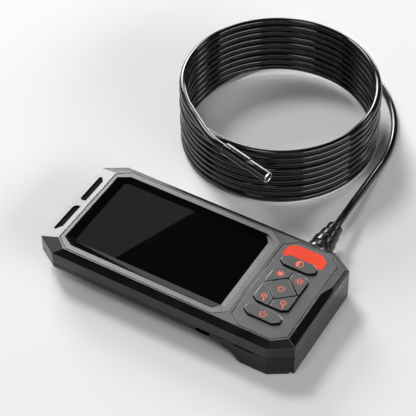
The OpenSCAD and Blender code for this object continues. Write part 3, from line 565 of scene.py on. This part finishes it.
def dressed(node, name, finishes, roundings, body="root", third=in_painted_shade):
    """A CAD node's own shape with rounded edges, shown in its place.

    The first finish is worn by the flat faces and the second by the rounded edges. A third
    is worn by the faces that third picks.
    """
    bm = from_cad(node)
    for radius, wanted in roundings:
        round_edges(bm, radius, wanted)
    crease(bm, CRISP, folds=True)
    if len(finishes) > 2:
        for face in bm.faces:
            if third(face):
                face.material_index = 2
    piece = piece_from(bm, name, finishes, sharp=None)
    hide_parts(node)
    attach(piece, body)
    return piece


def paint(node, name):
    """Gives a CAD node that keeps its shape its finish."""
    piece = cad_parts[node]
    piece.data.materials.clear()
    piece.data.materials.append(finish(name))


def outside(p, outline):
    """How far a point lies outside an eight-cornered outline seen from above, in millimetres."""
    x0, x1, half, cut_x, cut_y = outline
    along = max(x0 - p.x, p.x - x1)
    across = abs(p.y) - half
    slant = ((along + cut_x) * cut_y + across * cut_x) / math.hypot(cut_x, cut_y)
    return max(along, across, slant)


def softened(profile, radius, steps=4):
    """A closed outline with its corners rounded."""
    out = []
    for i, corner in enumerate(profile):
        corner = Vector(corner)
        before = Vector(profile[i - 1]) - corner
        after = Vector(profile[(i + 1) % len(profile)]) - corner
        reach = min(radius, 0.45 * before.length, 0.45 * after.length)
        a = corner + before.normalized() * reach
        b = corner + after.normalized() * reach
        for k in range(steps + 1):
            t = k / steps
            out.append(a * (1 - t) ** 2 + corner * 2 * t * (1 - t) + b * t * t)
    return out


def turned(name, profile, place, finishes, radius=0.15, steps=72):
    """A ring turned from a closed outline of (radius, height) in millimetres."""
    outline = softened(profile, radius)
    bm = bmesh.new()
    rows = []
    for r, z in outline:
        rows.append([bm.verts.new((r * MM * math.cos(2 * math.pi * k / steps),
                                   r * MM * math.sin(2 * math.pi * k / steps), z * MM))
                     for k in range(steps)])
    for i, row in enumerate(rows):
        after = rows[(i + 1) % len(rows)]
        for k in range(steps):
            n = (k + 1) % steps
            bm.faces.new((row[k], row[n], after[n], after[k]))
    return piece_from(bm, name, finishes, sharp=50, place=place)


def smooth_route(points, step):
    """A smooth line through the points, cut about every step metres."""
    out = []
    last = len(points) - 1
    for i in range(last):
        p0, p1 = points[max(i - 1, 0)], points[i]
        p2, p3 = points[i + 1], points[min(i + 2, last)]
        parts = max(2, round((p2 - p1).length / step))
        for k in range(parts):
            t = k / parts
            out.append(0.5 * (2 * p1 + (p2 - p0) * t + (2 * p0 - 5 * p1 + 4 * p2 - p3) * t * t
                              + (3 * p1 - p0 - 3 * p2 + p3) * t ** 3))
    out.append(points[last])
    return out


# ---- the cable and its probe ----


def cable_route():
    """The whole cable: lead on the floor, wound turns, and the tail that ends in the probe."""
    cable = kit().cable
    floor = cable.diameter / 2 + FLOOR_GAP
    lead = [Vector((EXIT.x + x * MM, EXIT.y + y * MM, floor + z * (EXIT.z - floor)))
            for x, y, z in LEAD_POINTS]
    total = 2 * math.pi * cable.turns
    count = round(POINTS_PER_TURN * cable.turns)
    turns = []
    for i in range(1, count):
        angle = total * i / count
        ease = min(1.0, i / EASE_POINTS, (count - i) / EASE_POINTS)
        slow, quick = math.sin(1.37 * angle), math.sin(2.63 * angle + 1)
        wander = cable.sway * ease * (0.6 * slow + 0.4 * quick)
        r = cable.coil_radius + wander
        turns.append(COIL_FOOT + Vector((r * math.cos(math.pi + angle),
                                         r * math.sin(math.pi + angle),
                                         floor + cable.pitch * angle / (2 * math.pi))))
    tail = [COIL_FOOT + Vector(p) * MM for p in TAIL_POINTS]
    return smooth_route(lead + turns + tail, ROUTE_STEP)


class IC_OT_cable(bpy.types.Operator):
    """Runs the cable from the strain relief through the coil to the probe"""

    bl_idname = "inspection_camera.cable"
    bl_label = "Cable"

    def execute(self, context):
        route = cable_route()
        curve = bpy.data.curves.new("probe_cable", "CURVE")
        curve.dimensions = "3D"
        curve.bevel_depth = kit().cable.diameter / 2
        curve.bevel_resolution = 5
        curve.use_fill_caps = True
        spline = curve.splines.new("POLY")
        spline.points.add(len(route) - 1)
        for point, at in zip(spline.points, route):
            point.co = (*at, 1)
        spline.use_smooth = True
        curve.materials.append(finish("glossy_cable"))
        cable = bpy.data.objects.new("probe_cable", curve)
        context.scene.collection.objects.link(cable)
        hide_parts("cable_lead", "cable_coil", "cable_tail")
        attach(cable, "root")
        return {"FINISHED"}


class IC_OT_strain_relief(bpy.types.Operator):
    """Moulds the grooved strain relief on the unit's far side"""

    bl_idname = "inspection_camera.strain_relief"
    bl_label = "Strain relief"

    def execute(self, context):
        place = Matrix.Translation(EXIT) @ Matrix.Rotation(math.radians(-90), 4, "X")
        low, tip = 7.2, 4.0
        flare, long = 6.0, 25.0
        grooves, dip = 3, 1.2
        taper = long - flare

        def out(s):
            return low + (tip - low) * s / taper

        profile = [(2.35, -3.4), (6.4, -3.4), (6.4, -1.65), (5.2, -1.65), (5.2, 0),
                   (7.8, 0.02), (7.8, 2.2), (7.6, 3.2), (out(-0.5), flare - 0.4)]
        for i in range(grooves):
            s = taper * i / grooves
            profile += [(out(s) - dip, flare + s - 0.25), (out(s) - dip, flare + s + 0.25)]
            rib = out(s + 0.3 * taper / grooves) + 0.15
            profile += [(rib, flare + s + 0.7), (rib - 0.1, flare + s + taper / grooves - 0.6)]
        profile += [(tip - 0.35, long), (2.35, long)]
        relief = turned("cable_strain_relief", profile, place, ["satin_rubber"], radius=0.3)
        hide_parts("strain_relief")
        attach(relief, "root")
        return {"FINISHED"}


class IC_OT_probe(bpy.types.Operator):
    """Turns the probe's sleeve, camera head and bright front ring"""

    bl_idname = "inspection_camera.probe"
    bl_label = "Probe"

    def execute(self, context):
        place = (Matrix.Translation(PROBE_AT) @ Matrix.Rotation(math.radians(PROBE_YAW), 4, "Z")
                 @ Matrix.Rotation(math.radians(90 + PROBE_DROOP), 4, "Y"))
        end = SLEEVE_LONG + HEAD_LONG
        made = [
            (turned("probe_grip", [(2.35, 0), (3.3, 0), (3.8, 0.6), (3.8, SLEEVE_LONG - 0.3),
                                   (3.5, SLEEVE_LONG), (2.75, SLEEVE_LONG), (2.75, 7), (2.35, 7)],
                    place, ["anodised_black"], radius=0.2), "probe_sleeve", "probe_black"),
            (turned("probe_barrel", [(2.15, SLEEVE_LONG - 5), (2.7, SLEEVE_LONG - 5),
                                     (2.7, SLEEVE_LONG), (3.15, SLEEVE_LONG),
                                     (3.35, SLEEVE_LONG + 0.25), (3.35, end - 0.5),
                                     (2.8, end - 0.5), (2.8, end - 1.4), (2.3, end - 1.4),
                                     (2.3, SLEEVE_LONG + 1), (2.15, SLEEVE_LONG + 1)],
                    place, ["anodised_black"], radius=0.08), "camera_head", "probe_black"),
            (turned("probe_front_ring", [(2.5, end - 0.5), (3.35, end - 0.5), (3.35, end - 0.4),
                                         (2.95, end), (2.7, end), (2.5, end - 0.2)],
                    place, ["polished_ring"], radius=0.08), "face_ring", "ring_chrome"),
        ]
        for piece, node, slot in made:
            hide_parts(node)
            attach(piece, "root")
        paint("front_window", "clear_window")
        paint("led_board", "black_board")
        paint("probe_leds", "led_lens")
        paint("lens_barrel", "anodised_black")
        paint("front_lens", "lens_glass")
        paint("image_sensor", "green_board")
        on_cable = [piece for piece, node, slot in made]
        on_cable += ["cable_strain_relief", "front_window", "led_board", "probe_leds",
                     "lens_barrel", "front_lens", "image_sensor"]
        return {"FINISHED"}


# ---- the unit ----


class IC_OT_shells(bpy.types.Operator):
    """Moulds the two shells with rounded edges and dresses the trims on their rims"""

    bl_idname = "inspection_camera.shells"
    bl_label = "Shells and trims"

    def execute(self, context):
        sizes = kit().shell
        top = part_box("top_shell")[1].z / MM
        rim = top - RIM_DROP
        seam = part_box("top_shell")[0].z / MM

        def skin(p):
            on_rim = p.z > top - AT_HEIGHT and abs(outside(p, DECK)) < ON_OUTLINE
            return on_rim or (p.z < rim + AT_HEIGHT and abs(outside(p, BODY)) < ON_OUTLINE)

        def long_edge(a, b):
            upright = abs(a.z - b.z) > 5
            level = min(a.z, b.z) > rim - AT_HEIGHT
            return (skin(a) and skin(b) and max(a.z, b.z) < rim + AT_HEIGHT
                    and (upright or level) and (a - b).length > 2)

        def slant_edge(a, b):
            low, up = sorted((a, b), key=lambda p: p.z)
            return (up.z > top - AT_HEIGHT and rim - 0.6 < low.z < rim + AT_HEIGHT
                    and outside(low, BODY) > -1 and abs(outside(up, DECK)) < ON_OUTLINE)

        def rim_edge(a, b):
            return min(a.z, b.z) > top - AT_HEIGHT

        def foot_edge(a, b):
            return (max(outside(a, BODY), outside(b, BODY)) > -0.6 and (a - b).length > 1.6
                    and min(outside(a, BODY), outside(b, BODY)) > -0.6
                    and max(a.z, b.z) < seam - 0.3 or abs(a.z - b.z) > 3 and skin(a) and skin(b))

        # Picks the black shell's thin flat rim at deck level, which wears the lighter grey edge
        # finish: painted highlight, a light line round the deck
        def rim_painted_highlight(face):
            return face.normal.z > 0.9 and face.calc_center_median().z / MM > top - 0.2

        # The rounded edges of both shells wear a slightly lighter, glossier copy of the shell
        # colour: painted highlight
        dressed("top_shell", "upper_shell",
                ["textured_black", "black_edge_highlight", "satin_grey_edge_highlight"],
                [(sizes.corner_round, long_edge), (sizes.slant_round, slant_edge),
                 (sizes.rim_round, rim_edge)], third=rim_painted_highlight)
        dressed("bottom_shell", "lower_shell", ["textured_black_base", "black_edge_highlight"],
                [(0.25 * MM, foot_edge)])
        dressed("key_end_trim", "end_trim", ["trim_black", "trim_black"],
                [(0.1 * MM, lambda a, b: True)])
        dressed("end_inlays", "slot_pads", ["trim_black", "trim_black"],
                [(0.1 * MM, lambda a, b: True)])
        return {"FINISHED"}


class IC_OT_deck(bpy.types.Operator):
    """Lays the face plate, bezel, screen surround, keypad panel, label and glass"""

    bl_idname = "inspection_camera.deck"
    bl_label = "Deck and screen"

    def execute(self, context):
        sizes = kit().shell
        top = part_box("face_plate")[1].z / MM

        def high(a, b):
            return min(a.z, b.z) > top - AT_HEIGHT

        upper = [(sizes.plate_round, high)]
        # The rounded edges of the face plate, bezel and keypad panel wear lighter copies of their
        # colours: painted highlight
        dressed("face_plate", "deck_plate", ["satin_grey", "satin_grey_edge_highlight"],
                [(sizes.rib_round, high)])
        # The walls of the bezel and keypad panel, and their rounded edges facing near and right,
        # wear a black painted shade
        bezel = dressed("screen_bezel", "screen_frame",
                        ["bezel_grey", "bezel_grey_edge_highlight", "painted_gap_shade"], upper)
        # The bezel's flat faces turned towards -X wear the darker copy of its colour: painted
        # shade
        bezel.data.materials.append(finish("bezel_slope_painted_shade"))
        for face in bezel.data.polygons:
            if face.material_index == 0 and face.normal.x < -0.1 and face.normal.z < 0.985:
                face.material_index = 3
        dressed("keypad_panel", "keypad_plate", ["satin_grey", "satin_grey_edge_highlight", "painted_gap_shade"],
                upper)
        dressed("screen_surround", "screen_slopes", ["surround_black", "surround_black"],
                [(0.06 * MM, lambda a, b: min(a.z, b.z) > top - 0.5)])
        dressed("label_plate", "orange_label", ["label_orange", "label_orange"],
                [(0.06 * MM, lambda a, b: min(a.z, b.z) > top + 0.15)])
        paint("cover_glass", "cover_glass")
        paint("lcd_panel", "display")
        return {"FINISHED"}


def ribbon(bm, line, width, z, thick, closed=False):
    """A printed stroke of even width along a flat line."""
    count = len(line)
    rings = []
    for i, at in enumerate(line):
        before = line[i - 1] if closed or i else line[0]
        after = line[(i + 1) % count] if closed or i < count - 1 else line[-1]
        way = (after - before).normalized()
        side = Vector((-way.y, way.x)) * width / 2
        rings.append([bm.verts.new((*(at + s * side), h)) for s, h in
                      ((1, z), (-1, z), (-1, z + thick), (1, z + thick))])
    pairs = list(zip(rings, rings[1:])) + ([(rings[-1], rings[0])] if closed else [])
    for a, b in pairs:
        for k in range(4):
            bm.faces.new((a[k], a[(k + 1) % 4], b[(k + 1) % 4], b[k]))
    if not closed:
        bm.faces.new(rings[0])
        bm.faces.new(rings[-1][::-1])


def patch(bm, outline, z, thick):
    """A printed filled area."""
    low = [bm.verts.new((*p, z)) for p in outline]
    high = [bm.verts.new((*p, z + thick)) for p in outline]
    bm.faces.new(low[::-1])
    bm.faces.new(high)
    for i in range(len(outline)):
        j = (i + 1) % len(outline)
        bm.faces.new((low[i], low[j], high[j], high[i]))


def arc(at, radius, start, end, steps=28):
    """Points on an arc, from one angle to another in degrees."""
    return [at + radius * Vector((math.cos(math.radians(start + (end - start) * k / steps)),
                                  math.sin(math.radians(start + (end - start) * k / steps))))
            for k in range(steps + 1)]


def circle(at, radius, steps=32):
    return arc(at, radius, 0, 360, steps)[:-1]


def mark_contrast(bm, at, z, t):
    ribbon(bm, circle(at, 2.2 * MM), 0.5 * MM, z, t, closed=True)
    patch(bm, arc(at - Vector((0.1 * MM, 0)), 1.95 * MM, 90, 270), z, t)


def rays(bm, at, z, t):
    for k in range(8):
        way = Vector((math.cos(math.radians(45 * k)), math.sin(math.radians(45 * k))))
        ribbon(bm, [at + way * 1.75 * MM, at + way * 2.55 * MM], 0.5 * MM, z, t)


def mark_sun_full(bm, at, z, t):
    patch(bm, circle(at, 1.35 * MM), z, t)
    rays(bm, at, z, t)


def mark_sun_ring(bm, at, z, t):
    ribbon(bm, circle(at, 1.1 * MM), 0.45 * MM, z, t, closed=True)
    rays(bm, at, z, t)


def mark_turn(bm, at, z, t):
    ribbon(bm, arc(at, 1.7 * MM, 60, 330), 0.5 * MM, z, t)
    tip = at + Vector((1.55, 0.75)) * MM
    patch(bm, [tip + Vector((0, 0.5)) * MM, tip + Vector((-1.2, -0.55)) * MM,
               tip + Vector((1.05, -0.8)) * MM], z, t)


def lens_mark(bm, at, z, t, upright):
    way = Vector((0.34, -0.94))
    ribbon(bm, circle(at, 1.5 * MM), 0.45 * MM, z, t, closed=True)
    ribbon(bm, [at + way * 1.73 * MM, at + way * 4.3 * MM], 0.75 * MM, z, t)
    ribbon(bm, [at - Vector((0.75, 0)) * MM, at + Vector((0.75, 0)) * MM], 0.34 * MM, z, t)
    if upright:
        for s in (-1, 1):
            ribbon(bm, [at + Vector((0, 0.17 * s)) * MM, at + Vector((0, 0.75 * s)) * MM],
                   0.34 * MM, z, t)


def mark_zoom_in(bm, at, z, t):
    lens_mark(bm, at, z, t, True)


def mark_zoom_out(bm, at, z, t):
    lens_mark(bm, at, z, t, False)


def mark_power(bm, at, z, t):
    ribbon(bm, arc(at, 1.75 * MM, 125, 415), 0.5 * MM, z, t)
    ribbon(bm, [at + Vector((0, 0.3)) * MM, at + Vector((0, 2.3)) * MM], 0.5 * MM, z, t)


# Each key's mark and its place, in millimetres
KEY_MARKS = {
    "key_light": (mark_contrast, (57.7, 19.2)),
    "key_brighter": (mark_sun_full, (51.7, 7.9)),
    "key_dimmer": (mark_sun_ring, (63.6, 8.0)),
    "key_rotate": (mark_turn, (57.6, -1.9)),
    "key_zoom_in": (mark_zoom_in, (51.7, -10.6)),
    "key_zoom_out": (mark_zoom_out, (63.3, -10.2)),
    "key_power": (mark_power, (57.6, -22.6)),
}


class IC_OT_keys(bpy.types.Operator):
    """Makes the seven keys and prints their marks"""

    bl_idname = "inspection_camera.keys"
    bl_label = "Keys"

    def execute(self, context):
        sizes = kit().shell
        for node, (draw, at) in KEY_MARKS.items():
            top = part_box(node)[1].z
            # The key's walls, and its rounded edges facing near and right, wear a black painted
            # shade
            dressed(node, node.replace("key_", "cap_"),
                    # The key's rounded top edges wear a lighter copy of the key colour: painted
                    # highlight
                    ["key_charcoal", "key_charcoal_edge_highlight", "painted_gap_shade"],
                    [(sizes.key_round, lambda a, b: max(a.z, b.z) > top / MM - AT_HEIGHT)],
                    node)
            bm = bmesh.new()
            draw(bm, Vector(at) * MM, top - 0.005 * MM, sizes.print_thick)
            mark = piece_from(bm, node.replace("key_", "mark_"), ["mark_orange"])
            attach(mark, node)
        return {"FINISHED"}


class IC_OT_inside(bpy.types.Operator):
    """Gives the boards, sockets, battery and fasteners their finishes"""

    bl_idname = "inspection_camera.inside"
    bl_label = "Inside parts"

    def execute(self, context):
        for node, name in (
                ("lcd_flex", "amber_film"), ("keypad_mat", "grey_silicone"),
                ("snap_domes", "sprung_steel"), ("key_board", "green_board"),
                ("main_board", "green_board"), ("shield_can", "tinned_steel"),
                # The USB socket's steel shell wears the black metal finish: painted shade, as its
                # opening lies in shadow
                ("usb_socket", "anodised_black"), ("card_socket", "tinned_steel"),
                ("camera_plug", "natural_nylon"), ("core_lead", "glossy_cable"),
                ("board_screws", "black_zinc"), ("shell_screws", "black_zinc"),
                ("battery_cell", "blue_wrap"), ("battery_contacts", "sprung_steel"),
                ("battery_cradle", "textured_black")):
            paint(node, name)
        return {"FINISHED"}


# ---- the stage ----


def softbox(name, azimuth, elevation, size, radiance, sheen_only=False):
    """A rectangular lamp. Azimuth is measured from +X towards +Y, in degrees.

    A sheen_only lamp is seen in glossy surfaces and casts no light on matt ones or the floor.
    """
    lamp = bpy.data.lights.new(name, "AREA")
    lamp.shape = "RECTANGLE"
    lamp.size, lamp.size_y = size
    lamp.energy = radiance * math.pi * size[0] * size[1]
    holder = bpy.data.objects.new(name, lamp)
    a, e = math.radians(azimuth), math.radians(elevation)
    way = Vector((math.cos(a) * math.cos(e), math.sin(a) * math.cos(e), math.sin(e)))
    holder.location = LAMPS_FACE + way * LAMP_DISTANCE
    holder.rotation_euler = way.to_track_quat("Z", "Y").to_euler()
    holder.visible_diffuse = not sheen_only
    bpy.context.scene.collection.objects.link(holder)


def stage_piece(name, bm, kind, **inputs):
    """A piece of the stage that wears one bare shader of the kind named."""
    material = bpy.data.materials.new(name)
    material.use_nodes = True
    tree = material.node_tree
    tree.nodes.remove(tree.nodes["Principled BSDF"])
    shader = add(tree, kind, **inputs)
    tree.links.new(shader.outputs[0], tree.nodes["Material Output"].inputs["Surface"])
    mesh = bpy.data.meshes.new(name)
    bm.to_mesh(mesh)
    bm.free()
    mesh.materials.append(material)
    piece = bpy.data.objects.new(name, mesh)
    bpy.context.scene.collection.objects.link(piece)
    return piece


class IC_OT_stage(bpy.types.Operator):
    """Sets up the camera, the pale floor, the room, the lamps and the glowing card"""

    bl_idname = "inspection_camera.stage"
    bl_label = "Stage"

    def execute(self, context):
        self.camera(context)
        self.room(context)
        self.floor(context)
        studio = kit().studio
        softbox("window_light", 143, 23.5, (0.95, 0.95), studio.key)
        softbox("side_light", 153, 52, (0.6, 0.6), studio.side)
        softbox("front_light", 262, 68, (0.7, 0.7), studio.front)
        softbox("back_light", 108, 11, (1.7, 0.8), studio.back, True)
        softbox("low_light", 350, 25, (2.1, 0.6), studio.low)
        for turn in (250, 300):
            softbox(f"strip_{turn}", turn, 25, (2.1, 0.22), studio.strip, True)
        softbox("edge_light", 52, 36, (0.5, 0.4), studio.edge, True)
        softbox("corner_light", 178, 38, (1.1, 0.7), studio.corner, True)
        softbox("rib_light", 134, 34, (0.5, 0.76), studio.rib, True)
        softbox("probe_light", 105, 27, (0.42, 0.5), studio.probe, True)
        softbox("facet_light", 311, 55, (0.6, 0.6), studio.facet, True)
        softbox("recess_light", 115.5, 35, (0.3, 0.3), studio.recess, True)
        self.reflector(context)
        return {"FINISHED"}

    def camera(self, context):
        lens = bpy.data.cameras.new("camera")
        lens.sensor_fit = "HORIZONTAL"
        lens.sensor_width = 36
        lens.lens = 131.09
        lens.clip_start = 0.01
        lens.clip_end = 20
        eye = bpy.data.objects.new("camera", lens)
        az, el, roll = (math.radians(angle) for angle in CAMERA_TURN)
        ahead = Vector((-math.sin(az) * math.cos(el), math.cos(az) * math.cos(el), -math.sin(el)))
        right = Vector((math.cos(az), math.sin(az), 0))
        up = right.cross(ahead)
        x = math.cos(roll) * right + math.sin(roll) * up
        y = math.cos(roll) * up - math.sin(roll) * right
        eye.matrix_world = Matrix.Translation(CAMERA_AT) @ Matrix(
            (x, y, -ahead)).transposed().to_4x4()
        context.scene.collection.objects.link(eye)
        context.scene.camera = eye

    def room(self, context):
        studio = kit().studio
        world = bpy.data.worlds.new("room")
        context.scene.world = world
        world.use_nodes = True
        tree = world.node_tree
        ground = tree.nodes["Background"]
        way = add(tree, "ShaderNodeTexCoord").outputs["Generated"]
        parts = add(tree, "ShaderNodeSeparateXYZ")
        tree.links.new(way, parts.inputs[0])
        height = add(tree, "ShaderNodeMapRange", interpolation_type="SMOOTHSTEP")
        height.inputs["From Min"].default_value = math.sin(math.radians(10))
        height.inputs["From Max"].default_value = math.sin(math.radians(28))
        height.inputs["To Min"].default_value = studio.horizon
        height.inputs["To Max"].default_value = studio.ceiling
        tree.links.new(parts.outputs["Z"], height.inputs["Value"])
        ray = add(tree, "ShaderNodeLightPath")
        seen = add(tree, "ShaderNodeMix", data_type="FLOAT")
        tree.links.new(ray.outputs["Is Camera Ray"], seen.inputs[0])
        tree.links.new(height.outputs["Result"], seen.inputs[2])
        seen.inputs[3].default_value = 1.0
        tree.links.new(seen.outputs[0], ground.inputs["Strength"])
        ground.inputs["Color"].default_value = (1, 1, 1, 1)

    def floor(self, context):
        bm = bmesh.new()
        bmesh.ops.create_grid(bm, x_segments=2, y_segments=2, size=4.0)
        ground = stage_piece("ground", bm, "ShaderNodeBsdfDiffuse", Color=(0.92, 0.92, 0.92, 1))

    def reflector(self, context):
        """A dim card overhead. Its straight edge crosses the screen as a slanting reflection.

        Its corners are set so that the camera sees them mirrored at the spots on the glass.
        """
        eye = context.scene.camera.matrix_world.translation
        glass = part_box("cover_glass")[1].z
        under = Vector((eye.x, eye.y, 2 * glass - eye.z))
        spots = [(-4, 56), (-46, -54), (-160, -54), (-160, 56)]
        bm = bmesh.new()
        corners = []
        for x, y in spots:
            on_glass = Vector((x * MM, y * MM, glass))
            reach = (CARD_HEIGHT - under.z) / (glass - under.z)
            corners.append(bm.verts.new(under + (on_glass - under) * reach))
        bm.faces.new(corners)
        card = stage_piece("reflector", bm, "ShaderNodeEmission",
                           Strength=kit().studio.reflector)
        card.visible_camera = False
        card.visible_diffuse = False
        card.visible_shadow = False


class IC_PT_kit(bpy.types.Panel):
    """Sidebar panel with every step of the build"""

    bl_idname = "IC_PT_kit"
    bl_label = "Inspection Camera"
    bl_space_type = "VIEW_3D"
    bl_region_type = "UI"
    bl_category = "Inspection Camera"

    def draw(self, context):
        layout = self.layout
        for step in OPERATORS:
            layout.operator(step.bl_idname)
        settings = context.scene.inspection_camera
        for title in ("shell", "cable", "colours", "studio"):
            group = getattr(settings, title)
            box = layout.box()
            for name in group.__annotations__:
                box.prop(group, name)


OPERATORS = (IC_OT_stage, IC_OT_cable, IC_OT_strain_relief, IC_OT_probe, IC_OT_shells,
             IC_OT_deck, IC_OT_keys, IC_OT_inside)
CLASSES = (ShellSizes, CableSizes, FinishColours, StudioLights, CameraKit, *OPERATORS, IC_PT_kit)


def register():
    for each in CLASSES:
        bpy.utils.register_class(each)
    bpy.types.Scene.inspection_camera = PointerProperty(type=CameraKit)


def unregister():
    del bpy.types.Scene.inspection_camera
    for each in reversed(CLASSES):
        bpy.utils.unregister_class(each)


def main():
    register()
    bpy.context.scene.view_settings.view_transform = "Standard"
    for step in OPERATORS:
        group, name = step.bl_idname.split(".")
        if getattr(getattr(bpy.ops, group), name)() != {"FINISHED"}:
            raise RuntimeError(f"{step.bl_label} wasn't built")


if __name__ == "__main__":
    main()
